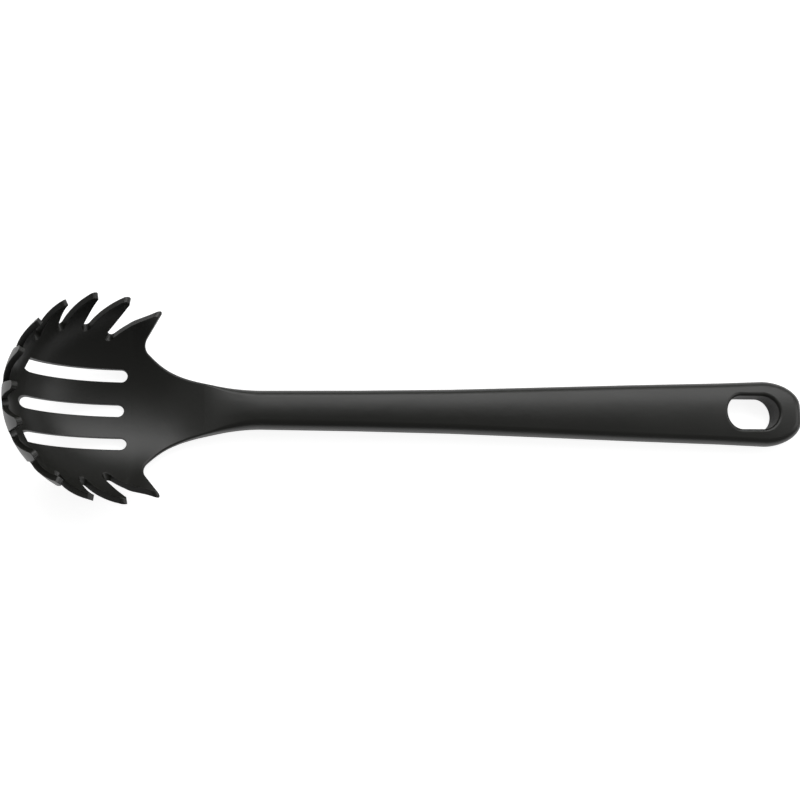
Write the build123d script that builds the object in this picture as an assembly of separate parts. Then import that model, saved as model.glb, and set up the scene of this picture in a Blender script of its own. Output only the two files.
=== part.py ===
from build123d import *
from math import acos, asin, atan2, cos, radians, sin, sqrt, tan
import os

# A moulded nylon pasta server: a deep slotted bowl with thirteen swept teeth, a flat neck that
# thickens into a rounded handle, and a hanging hole. X runs from the bowl to the handle's end, Y is
# across and Z is up. It is drawn with Z zero at the handle's mid-height and X zero at the front of
# the bowl, and moved at the end so that the origin lies under the middle of its box, on the table.

# Overall, with the depth of the small flat lands that the tool rests on
overall_length = 303.8
rest_land_depth = 0.15

# Bowl: the inside is an ellipsoid whose rear is tipped up
bowl_half_length = 43.07
bowl_half_width = 36.83
bowl_depth = 31.16
bowl_wall = 2.1
bowl_tip_angle = 6.0

# Teeth, set round an axis that leans towards the handle
tooth_count = 13
tooth_pitch_angle = 20.3
rim_lean_angle = 32.0
rim_axis_ahead = 5.4
tip_radius = 1.65
tip_below_centre = 11.4
gap_depth = 12.2
gap_bottom_radius = 1.6
gap_sweep = 2.1
rear_tooth_back_angle = 23.0
rear_tooth_back_length = 4.0
rear_cut_width = 5.0

# Drain slots
slot_width = 4.6
slot_spacing = 12.75
slot_length = 35.5
slot_front = 4.3
outer_slot_setback = 1.2
slot_climb = 22.0

# Notch between the rearmost teeth and the neck, counted from the bowl's centre and sides
notch_behind_centre = 2.35
notch_side_inset = 13.5
notch_radius = 4.0
rear_tooth_behind_centre = 8.25
rear_tooth_side_inset = 3.8

# Neck: a plate that starts in front of the bowl's centre, then a turn from flat to round, which
# follows both neighbours over a short run before it leaves them
neck_start = 6.0
neck_plate_length = 24.0
neck_plate_thickness = 6.0
neck_edge_radius = 0.6
neck_half_width = 7.15
neck_thickness = 10.2
neck_end_x = 90.0
plate_span_angle = 75.0
neck_run_in = 2.0

# Handle
handle_end_half_width = 13.0
handle_end_thickness = 11.0
handle_edge_radius = 3.6
end_round_length = 15.0
end_flat_half_width = 3.0

# Tang of the head inside the handle
tang_length = 120.0
tang_width = 7.0
tang_thickness = 4.4
tang_clearance = 0.15

# Hanging hole
hole_length = 21.6
hole_width = 13.3
hole_end_wall = 9.9
hole_edge_radius = 1.2

# How far a cutter runs past what it cuts, and the steps of the drawn and searched curves
overrun = 5.0
plate_curve_steps = 6
search_steps = 40

# Shares of the neck's length at which its plan outline is set, with half widths as shares of the
# way from the handle's half width to the notch's lower shoulder
neck_side_shares = ((0.153, 0.604), (0.339, 0.334), (0.626, 0.109))
# The neck plate's sections, as shares of its length: place, rise kept above and below, and how far
# the plate has thickened
neck_plate_shares = ((-0.08, 1.0, 1.0, 0.0), (0.08, 1.0, 1.0, 0.01), (0.25, 0.9, 0.92, 0.09),
                     (0.46, 0.62, 0.7, 0.25), (0.71, 0.3, 0.45, 0.55), (1.0, 0.0, 0.25, 1.0))
# Height of the land on a tooth's tip, as a share of the tip's radius
tip_land_share = 0.98
# How much of the floor's rise the plate's top gives up, and how much of its growth is upwards
top_lowering_share = 0.75
top_growth_share = 0.45

# The neck's turn from flat to round: place between plate and handle and share of the change made
neck_turn_shares = ((0.35, 0.45), (0.7, 0.82))
# The handle's half width on its way to the rounded end: place along it and share of the widening
handle_side_shares = ((0, 0), (0.185, 0.077), (0.361, 0.202), (0.537, 0.417), (0.718, 0.65),
                      (0.907, 0.858))
# The arch of the handle's top and underside, as a share of its half width
camber_share = 0.18

tip_angle = radians(bowl_tip_angle)
outer_half_length = bowl_half_length + bowl_wall
outer_half_width = bowl_half_width + bowl_wall
outer_depth = bowl_depth + bowl_wall
bowl_reach = sqrt((outer_half_length * cos(tip_angle)) ** 2 + (outer_depth * sin(tip_angle)) ** 2)
bowl_drop = sqrt((outer_depth * cos(tip_angle)) ** 2 + (outer_half_length * sin(tip_angle)) ** 2)
table_height = -handle_end_thickness / 2
bowl_centre = Vector(bowl_reach, 0, table_height + bowl_drop)
bowl_frame = Location(bowl_centre, (0, -bowl_tip_angle, 0))
rim_frame = Location(bowl_centre, (0, rim_lean_angle, 0)) * Location((-rim_axis_ahead, 0, 0))
rim_reach = (bowl_half_width / 2, 2 * bowl_half_width)
side_teeth = (tooth_count - 1) // 2
tip_level = -tip_below_centre
gap_level = tip_level - gap_depth
neck_turn_x = bowl_reach + neck_plate_length
notch_front = Vector(bowl_reach + notch_behind_centre, bowl_half_width - notch_side_inset)
rear_tooth_back = Vector(bowl_reach + rear_tooth_behind_centre, bowl_half_width - rear_tooth_side_inset)


def ellipsoid(half_length, half_width, depth):
    """An ellipsoid about the origin."""
    stretch = Matrix([[half_length, 0, 0, 0], [0, half_width, 0, 0], [0, 0, depth, 0]])
    return Solid.make_sphere(1).transform_geometry(stretch)


def front_shell():
    """The bowl's wall, from its front back to the plane where the neck plate begins."""
    outer = ellipsoid(outer_half_length, outer_half_width, outer_depth)
    inner = ellipsoid(bowl_half_length, bowl_half_width, bowl_depth)
    room = Box(2 * outer_half_length, 3 * outer_half_width, 3 * outer_depth,
               align=(Align.MAX, Align.CENTER, Align.CENTER))
    return (outer - inner) & room.moved(Location((-neck_start, 0, 0)))


def bowl_arc(along, half_length, half_width, depth, span):
    """The lower arc of the ellipsoid's section at a place along the bowl."""
    size = sqrt(1 - (along / half_length) ** 2)
    return EllipticalCenterArc((0, 0), half_width * size, depth * size, start_angle=-90 - span,
                               arc_size=2 * span)


def plate_curve(along, half_length, half_width, depth, span, rise_kept, lowered):
    """A section curve of the neck plate: the bowl's arc, flattened and lowered."""
    size = sqrt(1 - (along / half_length) ** 2)
    floor = -depth * size - lowered
    points = []
    for step in range(-plate_curve_steps, plate_curve_steps + 1):
        angle = radians(span * step / plate_curve_steps)
        height = floor + rise_kept * depth * size * (1 - cos(angle))
        points.append((half_width * size * sin(angle), height))
    return Spline(*points)


def section_face(along, top, bottom):
    """Closes two section curves into a face across the bowl's length."""
    left = Line(bottom @ 0, top @ 0)
    right = Line(top @ 1, bottom @ 1)
    outline = Wire([top.edge(), right.edge(), bottom.edge(), left.edge()])
    plane = Plane(origin=(along, 0, 0), x_dir=(0, 1, 0), z_dir=(1, 0, 0))
    return plane * Face(outline)


def neck_plate():
    """The thickening plate from the bowl's floor to the place where the neck turns round."""
    wide = plate_span_angle
    first = -neck_start
    faces = [section_face(first, bowl_arc(first, bowl_half_length, bowl_half_width, bowl_depth, wide),
                          bowl_arc(first, outer_half_length, outer_half_width, outer_depth, wide))]
    for share, kept_above, kept_below, thickened in neck_plate_shares:
        along = share * neck_plate_length
        lowered_above, lowered_below = 0, 0
        if along > 0:
            grown = thickened * (neck_plate_thickness - bowl_wall)
            rise_above = bowl_depth * (1 - sqrt(1 - (along / bowl_half_length) ** 2))
            rise_below = outer_depth * (1 - sqrt(1 - (along / outer_half_length) ** 2))
            lowered_above = top_lowering_share * rise_above - top_growth_share * grown
            lowered_below = rise_below + (1 - top_growth_share) * grown
        above = plate_curve(along, bowl_half_length, bowl_half_width, bowl_depth, wide, kept_above,
                            lowered_above)
        below = plate_curve(along, outer_half_length, outer_half_width, outer_depth, wide, kept_below,
                            lowered_below)
        faces.append(section_face(along, above, below))
    return loft(faces)


def neck_side():
    """The neck's side in plan, on the +Y side, from the handle's start to the notch's shoulder."""
    shoulder = notch_front + Vector(notch_radius, 0) + Vector(-1, -1) * (notch_radius / sqrt(2))
    points = []
    for along_share, width_share in neck_side_shares:
        points.append((shoulder.X + along_share * (neck_end_x - shoulder.X),
                       neck_half_width + width_share * (shoulder.Y - neck_half_width)))
    end = Vector(neck_end_x, neck_half_width)
    return Spline(end, *reversed(points), shoulder, tangents=((-1, 0), (-1, 1)))


def neck_outline():
    """The plan beside the neck and behind the rear tooth, on the +Y side, to be cut away."""
    side = neck_side()
    notch_centre = notch_front + Vector(notch_radius, 0)
    to_tip = rear_tooth_back - notch_centre
    lean = atan2(to_tip.Y, to_tip.X) + acos(notch_radius / to_tip.length)
    leave = notch_centre + Vector(cos(lean), sin(lean)) * notch_radius
    far = rear_tooth_back + (rear_tooth_back - leave)
    notch = ThreePointArc(side @ 1, notch_front, leave)
    outside = Polyline(leave, far, (neck_end_x, far.Y), side @ 0)
    return Face(Wire([side.edge(), notch.edge()] + outside.edges()))


def beside_neck():
    """The cutter beside the neck on both sides."""
    low = table_height - overrun
    face = Location((0, 0, low)) * neck_outline()
    cutter = extrude(face, bowl_drop + outer_depth, dir=(0, 0, 1))
    return [cutter, mirror(cutter, about=Plane.XZ)]


def gap_side(sweep, half_pitch):
    """Points on the straight side from a gap's bottom arc to a tooth's tip arc, on the + side."""
    bottom = Vector(sweep, gap_level)
    tip = Vector(half_pitch, tip_level)
    reach = tip - bottom
    lean = atan2(reach.X, reach.Y) - asin((gap_bottom_radius + tip_radius) / reach.length)
    outward = Vector(cos(lean), -sin(lean))
    crown = (Vector(0, 1) - outward).normalized()
    return [bottom + outward * gap_bottom_radius, tip - outward * tip_radius,
            tip + crown * tip_radius, tip + Vector(0, tip_radius)]


def gap_face(radius):
    """One gap between two teeth, seen from the rim's axis, with half of each neighbour's tip."""
    half_pitch = radius * tan(radians(tooth_pitch_angle / 2))
    right = gap_side(gap_sweep, half_pitch)
    left = [Vector(-point.X, point.Y) for point in gap_side(-gap_sweep, half_pitch)]
    bottom = Vector(gap_sweep, gap_level - gap_bottom_radius)
    top = Vector(0, outer_depth)
    outline = Wire([ThreePointArc(left[0], bottom, right[0]).edge(),
                    Line(right[0], right[1]).edge(),
                    ThreePointArc(right[1], right[2], right[3]).edge()]
                   + Polyline(right[3], right[3] + top, left[3] + top, left[3]).edges()
                   + [ThreePointArc(left[3], left[2], left[1]).edge(),
                      Line(left[1], left[0]).edge()])
    return Face(outline)


def rear_face(radius):
    """What is cut away behind the rearmost tooth, seen from the rim's axis; the same at any radius."""
    lean = radians(rear_tooth_back_angle)
    centre = Vector(0, tip_level)
    crown = centre + Vector(0, tip_radius)
    away = Vector(-cos(lean), sin(lean))
    middle = (away + Vector(0, 1)).normalized()
    start = centre + away * tip_radius
    stop = start + Vector(-sin(lean), -cos(lean)) * rear_tooth_back_length
    arc = ThreePointArc(crown, centre + middle * tip_radius, start)
    rest = Polyline(start, stop, (-rear_cut_width, stop.Y), (-rear_cut_width, outer_depth),
                    (0, outer_depth), crown)
    return Face(Wire([arc.edge()] + rest.edges()))


def radial_cutter(outline, azimuth):
    """A wedge cut outwards from the rim's axis; azimuth is counted from the bowl's front."""
    faces = []
    for radius in rim_reach:
        plane = Plane(origin=(-radius, 0, 0), x_dir=(0, -1, 0), z_dir=(-1, 0, 0))
        faces.append(plane * outline(radius))
    return rim_frame * Location((0, 0, 0), (0, 0, -azimuth)) * loft(faces, ruled=True)


def over_teeth():
    """The space over the teeth, which leaves a small land on each tip."""
    rear = rear_cut_width - bowl_half_width * cos(radians(side_teeth * tooth_pitch_angle))
    room = Box(3 * outer_half_length, 3 * outer_half_width, 2 * outer_depth,
               align=(Align.MAX, Align.CENTER, Align.MIN))
    return rim_frame * Location((rear, 0, tip_level + tip_land_share * tip_radius)) * room


def tooth_cutters():
    """All the gaps between the teeth and the backs of the rearmost teeth."""
    cutters = []
    for index in range(side_teeth):
        cutters.append(radial_cutter(gap_face, (index + 0.5) * tooth_pitch_angle))
    cutters.append(radial_cutter(rear_face, side_teeth * tooth_pitch_angle))
    return cutters + [mirror(cutter, about=Plane.XZ) for cutter in cutters]


def slot_cutters():
    """The three drain slots, cut straight down through the bowl's floor and front."""
    cutters = []
    for row in (-1, 0, 1):
        front = slot_front + abs(row) * outer_slot_setback
        middle = front + slot_length / 2
        slot = SlotOverall(slot_length, slot_width)
        low = table_height - overrun
        prism = extrude(slot, slot_climb + overrun)
        cutters.append(Location((middle, row * slot_spacing, low)) * prism)
    return cutters


def head_blade():
    """The bowl with its teeth and slots, and the neck plate."""
    blade = bowl_frame * (front_shell() + neck_plate())
    for cutters in (beside_neck() + [over_teeth()], tooth_cutters(), slot_cutters()):
        blade = blade - cutters
    behind_notch = blade.edges().filter_by(lambda edge: edge.center().X > notch_front.X + notch_radius)
    sides = behind_notch.filter_by(lambda edge: abs(edge.center().Y) > neck_half_width
                                   and edge.length > neck_plate_length / 2)
    return fillet(sides, neck_edge_radius)


def thickness_at(along):
    """The handle's thickness, which grows evenly to its end."""
    share = (along - neck_end_x) / (overall_length - neck_end_x)
    return neck_thickness + share * (handle_end_thickness - neck_thickness)


def rounded_section(along, half_width, top, bottom, camber, edge_radius):
    """A section of the grip or the neck: arched top and underside, upright sides, rounded edges."""
    above = ThreePointArc((-half_width, top - camber), (0, top), (half_width, top - camber))
    below = ThreePointArc((-half_width, bottom + camber), (0, bottom), (half_width, bottom + camber))
    outline = Wire([above.edge(), Line(above @ 1, below @ 1).edge(), below.edge(),
                    Line(below @ 0, above @ 0).edge()])
    face = Face(outline)
    rounded = face.fillet_2d(edge_radius, face.vertices())
    return Plane(origin=(along, 0, 0), x_dir=(0, 1, 0), z_dir=(1, 0, 0)) * rounded


def grip_section(along_share, width_share):
    """The handle's section at a share of its long taper, where so much of the widening is done."""
    along = neck_end_x + along_share * (overall_length - end_round_length - neck_end_x)
    half_width = neck_half_width + width_share * (handle_end_half_width - neck_half_width)
    top = thickness_at(along) / 2
    return rounded_section(along, half_width, top, -top, camber_share * half_width, handle_edge_radius)


def handle_end():
    """The handle's rounded end, in plan two quarter ellipses and a short flat."""
    start = overall_length - end_round_length
    top = thickness_at(start) / 2
    camber = camber_share * handle_end_half_width
    arch_radius = (handle_end_half_width ** 2 + camber ** 2) / (2 * camber)
    arch = Cylinder(arch_radius, end_round_length, rotation=(0, 90, 0),
                    align=(Align.CENTER, Align.CENTER, Align.MIN))
    above = arch.moved(Location((start, 0, top - arch_radius)))
    below = arch.moved(Location((start, 0, arch_radius - top)))
    corner = EllipticalCenterArc((start, end_flat_half_width), end_round_length,
                                 handle_end_half_width - end_flat_half_width, start_angle=0,
                                 arc_size=90)
    other = corner.edge().mirror(Plane.XZ)
    flat = Line(corner @ 0, (overall_length, -end_flat_half_width))
    back = Line((start, handle_end_half_width), (start, -handle_end_half_width))
    plan = extrude(Face(Wire([corner.edge(), other, flat.edge(), back.edge()])), 2 * top, dir=(0, 0, 1))
    block = plan.moved(Location((0, 0, -top))) & above & below
    rims = block.edges().filter_by(lambda edge: edge.center().X > start + end_round_length / 4
                                   and abs(edge.center().Z) > top / 4)
    return fillet(rims, handle_edge_radius)


def handle_body():
    """The whole handle with its hanging hole; its long taper is ruled through its stations."""
    end = handle_end()
    stations = [grip_section(*shares) for shares in handle_side_shares]
    body = loft(stations + [end.faces().sort_by(Axis.X)[0]], ruled=True) + end
    hole_x = overall_length - hole_end_wall - hole_length / 2
    hole = Location((hole_x, 0, -handle_end_thickness)) * SlotOverall(hole_length, hole_width)
    body = body - extrude(hole, 2 * handle_end_thickness, dir=(0, 0, 1))
    hole_rims = body.edges().filter_by(lambda edge: abs(edge.center().X - hole_x) <= hole_length / 2
                                       and abs(edge.center().Y) <= hole_width / 2
                                       and abs(edge.center().Z) > handle_end_thickness / 4)
    return fillet(hole_rims, hole_edge_radius)


def section_at(shape, along):
    """The face that a plane across X cuts out of a shape."""
    return section(shape, section_by=Plane(origin=(along, 0, 0), z_dir=(1, 0, 0))).faces()[0]


def half_width_at(side, along):
    """The distance from the middle to the neck's side at a place along it."""
    near, far = 0, 1
    for step in range(search_steps):
        middle = (near + far) / 2
        if (side @ middle).X > along:
            near = middle
        else:
            far = middle
    return (side @ near).Y


def neck_room():
    """The room between the end of the flat plate and the handle's start."""
    room = Box(neck_end_x - neck_turn_x, 2 * outer_half_width, 2 * bowl_drop,
               align=(Align.MIN, Align.CENTER, Align.CENTER))
    return room.moved(Location((neck_turn_x, 0, 0)))


def neck_turn(blade):
    """The neck between its flat plate and the handle, which carries on both neighbours' slopes."""
    side = neck_side()
    sections = [section_at(blade, neck_turn_x - share * neck_run_in) for share in (2, 1, 0)]
    box = sections[-1].bounding_box()
    for place, share in neck_turn_shares:
        along = neck_turn_x + place * (neck_end_x - neck_turn_x)
        top = box.max.Z + share * (neck_thickness / 2 - box.max.Z)
        bottom = box.min.Z + share * (-neck_thickness / 2 - box.min.Z)
        edge_radius = neck_edge_radius + share * (handle_edge_radius - neck_edge_radius)
        sections.append(rounded_section(along, half_width_at(side, along), top, bottom,
                                        share * camber_share * neck_half_width, edge_radius))
    first_share, first_widening = handle_side_shares[1]
    for share in (0, 1, 2):
        along_share = share * neck_run_in / (overall_length - end_round_length - neck_end_x)
        sections.append(grip_section(along_share, along_share * first_widening / first_share))
    return loft(sections) & neck_room()


def tang_bar(clearance):
    """The head's tang inside the handle, or with a clearance the pocket that holds it."""
    bar = Box(tang_length + clearance, tang_width + 2 * clearance, tang_thickness + 2 * clearance,
              align=(Align.MIN, Align.CENTER, Align.CENTER))
    return bar.moved(Location((neck_end_x, 0, 0)))


def handle_half(handle, side):
    """One shell of the handle: the part above or below the parting line."""
    room = Box(2 * overall_length, 4 * handle_end_half_width, 2 * handle_end_thickness,
               align=(Align.CENTER, Align.CENTER, Align.MIN if side > 0 else Align.MAX))
    return handle & room


def below_table():
    """What is cut away below the small lands that the tool rests on."""
    under = Box(2 * overall_length, 3 * outer_half_width, overrun,
                align=(Align.CENTER, Align.CENTER, Align.MAX))
    return under.moved(Location((0, 0, table_height + rest_land_depth)))


def build_parts():
    """All pieces of the tool in the drawing's own frame."""
    handle = handle_body()
    blade = head_blade()
    head = (blade - neck_room()) + neck_turn(blade) + tang_bar(0) - below_table()
    shells = handle - tang_bar(tang_clearance) - below_table()
    return {"head": head, "handle_upper_shell": handle_half(shells, 1),
            "handle_lower_shell": handle_half(shells, -1)}


# The origin goes under the middle of the tool's box, on the table
standing = Location((-overall_length / 2, 0, -table_height - rest_land_depth))
os.makedirs("parts", exist_ok=True)
for name, shape in build_parts().items():
    export_step(standing * shape, "parts/" + name + ".step")
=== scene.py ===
import bpy
from mathutils import Matrix, Vector

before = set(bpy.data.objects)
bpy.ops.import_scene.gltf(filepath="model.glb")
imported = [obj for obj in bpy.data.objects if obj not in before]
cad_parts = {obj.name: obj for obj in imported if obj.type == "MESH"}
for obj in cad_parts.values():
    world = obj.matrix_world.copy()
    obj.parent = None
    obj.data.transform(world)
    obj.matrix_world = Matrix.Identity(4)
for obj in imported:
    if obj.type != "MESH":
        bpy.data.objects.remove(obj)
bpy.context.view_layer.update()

# Camera of the photograph, in the frame of the tool, in metres and radians
CAMERA_PLACE = Vector((-0.0920, -0.09495, 0.48522))
CAMERA_TURN_Z = 0.02482
CAMERA_TURN_X = -0.20126
CAMERA_TURN_Y = 0.17076
CAMERA_LENS = 58.83
CAMERA_SENSOR = 36.0
CAMERA_NEAR = 0.01

# Light, in metres and watts: three soft lamps and an even world
LIGHT_AIM = Vector((-0.02, 0.0, 0.0))
KEY_PLACE = Vector((0.02, 0.46, 0.50))
KEY_SIZE = (1.15, 0.34)
KEY_POWER = 3.5
TOP_PLACE = Vector((0.0, 0.30, 0.80))
TOP_SIZE = (0.70, 0.30)
TOP_POWER = 0.7
SIDE_PLACE = Vector((0.60, 0.0, 0.40))
SIDE_SIZE = (0.40, 0.40)
SIDE_POWER = 0.8
WORLD_LEVEL = 0.19

WHITE = (1.0, 1.0, 1.0, 1.0)

# Floor, how far it is lifted to white, and how far off the tool still shades it in reflections
FLOOR_HALF = 3.0
FLOOR_COLOUR = (0.50, 0.50, 0.50, 1.0)
FLOOR_LIFT = 0.86
SHADE_REACH = 0.08
SHADE_SAMPLES = 4

# Nylon: its colours and roughness vary with a soft cloud, and a fine grain covers it
NYLON_COLOUR = (0.0045, 0.0047, 0.0031, 1.0)
NYLON_COLOUR_WORN = (0.0080, 0.0083, 0.0062, 1.0)
NYLON_ROUGHNESS = (0.34, 0.44)
NYLON_IOR = 1.53
CLOUD_SCALE = 35.0
CLOUD_DETAIL = 4.0
CLOUD_ROUGHNESS = 0.55
GRAIN_SCALE = 900.0
GRAIN_DETAIL = 2.0
GRAIN_ROUGHNESS = 0.6
GRAIN_HEIGHT = 0.00002
GRAIN_STRENGTH = 0.5

# Softened edges, but for the joint between the head and the handle, where the faces run through
EDGE_RADIUS = 0.0003
EDGE_SAMPLES = 6
JOINT_X = -0.0619
JOINT_HALF = 0.0010


class Nodes:
    """A material, with a short way to write its nodes."""

    def __init__(self, name):
        self.material = bpy.data.materials.new(name)
        self.material.use_nodes = True
        self.tree = self.material.node_tree
        self.tree.nodes.clear()

    def add(self, kind, **inputs):
        """A node, with some of its inputs set; an underscore stands for a space in their names."""
        node = self.tree.nodes.new(kind)
        for name, value in inputs.items():
            node.inputs[name.replace("_", " ")].default_value = value
        return node

    def link(self, source, target):
        self.tree.links.new(source, target)

    def math(self, operation, *values):
        """The result of one operation on sockets and plain numbers."""
        node = self.tree.nodes.new("ShaderNodeMath")
        node.operation = operation
        for value, target in zip(values, node.inputs):
            if isinstance(value, (int, float)):
                target.default_value = value
            else:
                self.link(value, target)
        return node.outputs["Value"]


def nylon_material():
    """Matte moulded nylon: near black, with a fine grain, faint clouding and softened edges."""
    nodes = Nodes("black_nylon")
    place = nodes.add("ShaderNodeTexCoord").outputs["Object"]
    cloud = nodes.add("ShaderNodeTexNoise", Scale=CLOUD_SCALE, Detail=CLOUD_DETAIL,
                      Roughness=CLOUD_ROUGHNESS)
    grain = nodes.add("ShaderNodeTexNoise", Scale=GRAIN_SCALE, Detail=GRAIN_DETAIL,
                      Roughness=GRAIN_ROUGHNESS)
    nodes.link(place, cloud.inputs["Vector"])
    nodes.link(place, grain.inputs["Vector"])
    colour = nodes.add("ShaderNodeMix")
    colour.data_type = "RGBA"
    colour.inputs["A"].default_value = NYLON_COLOUR
    colour.inputs["B"].default_value = NYLON_COLOUR_WORN
    nodes.link(cloud.outputs["Fac"], colour.inputs["Factor"])
    rough = nodes.add("ShaderNodeMapRange", To_Min=NYLON_ROUGHNESS[0], To_Max=NYLON_ROUGHNESS[1])
    nodes.link(cloud.outputs["Fac"], rough.inputs["Value"])
    spread = nodes.add("ShaderNodeSeparateXYZ")
    nodes.link(place, spread.inputs["Vector"])
    at_joint = nodes.math("COMPARE", spread.outputs["X"], JOINT_X, JOINT_HALF)
    width = nodes.add("ShaderNodeMapRange", To_Min=EDGE_RADIUS, To_Max=0.0)
    nodes.link(at_joint, width.inputs["Value"])
    edge = nodes.add("ShaderNodeBevel")
    edge.samples = EDGE_SAMPLES
    nodes.link(width.outputs["Result"], edge.inputs["Radius"])
    bump = nodes.add("ShaderNodeBump", Distance=GRAIN_HEIGHT, Strength=GRAIN_STRENGTH)
    nodes.link(grain.outputs["Fac"], bump.inputs["Height"])
    nodes.link(edge.outputs["Normal"], bump.inputs["Normal"])
    shader = nodes.add("ShaderNodeBsdfPrincipled", IOR=NYLON_IOR)
    nodes.link(colour.outputs["Result"], shader.inputs["Base Color"])
    nodes.link(rough.outputs["Result"], shader.inputs["Roughness"])
    nodes.link(bump.outputs["Normal"], shader.inputs["Normal"])
    out = nodes.add("ShaderNodeOutputMaterial")
    nodes.link(shader.outputs["BSDF"], out.inputs["Surface"])
    return nodes.material


def floor_material():
    """A pale matte floor, lifted to white where it is seen or mirrored, but for the tool's shade."""
    nodes = Nodes("studio_floor")
    plain = nodes.add("ShaderNodeBsdfDiffuse", Color=FLOOR_COLOUR)
    glow = nodes.add("ShaderNodeEmission", Color=WHITE)
    path = nodes.add("ShaderNodeLightPath")
    shade = nodes.add("ShaderNodeAmbientOcclusion", Distance=SHADE_REACH)
    shade.samples = SHADE_SAMPLES
    mirrored = nodes.math("MULTIPLY", path.outputs["Is Glossy Ray"], shade.outputs["AO"])
    looked_at = nodes.math("MAXIMUM", path.outputs["Is Camera Ray"], path.outputs["Is Transmission Ray"])
    seen = nodes.math("MAXIMUM", looked_at, mirrored)
    nodes.link(nodes.math("MULTIPLY", seen, FLOOR_LIFT), glow.inputs["Strength"])
    both = nodes.add("ShaderNodeAddShader")
    nodes.link(plain.outputs["BSDF"], both.inputs[0])
    nodes.link(glow.outputs["Emission"], both.inputs[1])
    out = nodes.add("ShaderNodeOutputMaterial")
    nodes.link(both.outputs["Shader"], out.inputs["Surface"])
    return nodes.material


def lay_floor():
    """The floor, as one square that is no part of the tool."""
    half = FLOOR_HALF
    corners = [(-half, -half, 0), (half, -half, 0), (half, half, 0), (-half, half, 0)]
    mesh = bpy.data.meshes.new("studio_floor")
    mesh.from_pydata(corners, [], [(0, 1, 2, 3)])
    floor = bpy.data.objects.new("studio_floor", mesh)
    bpy.context.scene.collection.objects.link(floor)
    mesh.materials.append(floor_material())


def light(name, place, size, power):
    """A soft lamp that faces the tool."""
    lamp = bpy.data.lights.new(name, "AREA")
    lamp.shape = "RECTANGLE"
    lamp.size, lamp.size_y = size
    lamp.energy = power
    holder = bpy.data.objects.new(name, lamp)
    holder.location = place
    holder.rotation_euler = (LIGHT_AIM - place).to_track_quat("-Z", "Y").to_euler()
    bpy.context.scene.collection.objects.link(holder)


def set_world():
    """An even white surround, at a low level."""
    world = bpy.data.worlds.new("studio")
    world.use_nodes = True
    background = world.node_tree.nodes["Background"]
    background.inputs["Color"].default_value = WHITE
    background.inputs["Strength"].default_value = WORLD_LEVEL
    bpy.context.scene.world = world


def set_camera():
    """The camera that sees the tool as the photograph does."""
    data = bpy.data.cameras.new("photo_camera")
    data.lens = CAMERA_LENS
    data.sensor_width = CAMERA_SENSOR
    data.sensor_fit = "HORIZONTAL"
    data.clip_start = CAMERA_NEAR
    holder = bpy.data.objects.new("photo_camera", data)
    turn = (Matrix.Rotation(CAMERA_TURN_Z, 3, "Z") @ Matrix.Rotation(CAMERA_TURN_X, 3, "X")
            @ Matrix.Rotation(CAMERA_TURN_Y, 3, "Y"))
    holder.matrix_world = Matrix.Translation(CAMERA_PLACE) @ turn.transposed().to_4x4()
    bpy.context.scene.collection.objects.link(holder)
    bpy.context.scene.camera = holder


def dress_nodes():
    """Every CAD piece gets the nylon."""
    nylon = nylon_material()
    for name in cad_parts:
        node = bpy.data.objects[name]
        node.data.materials.clear()
        node.data.materials.append(nylon)


dress_nodes()
lay_floor()
set_world()
light("key", KEY_PLACE, KEY_SIZE, KEY_POWER)
light("top", TOP_PLACE, TOP_SIZE, TOP_POWER)
light("side", SIDE_PLACE, SIDE_SIZE, SIDE_POWER)
set_camera()
bpy.context.scene.view_settings.view_transform = "Standard"
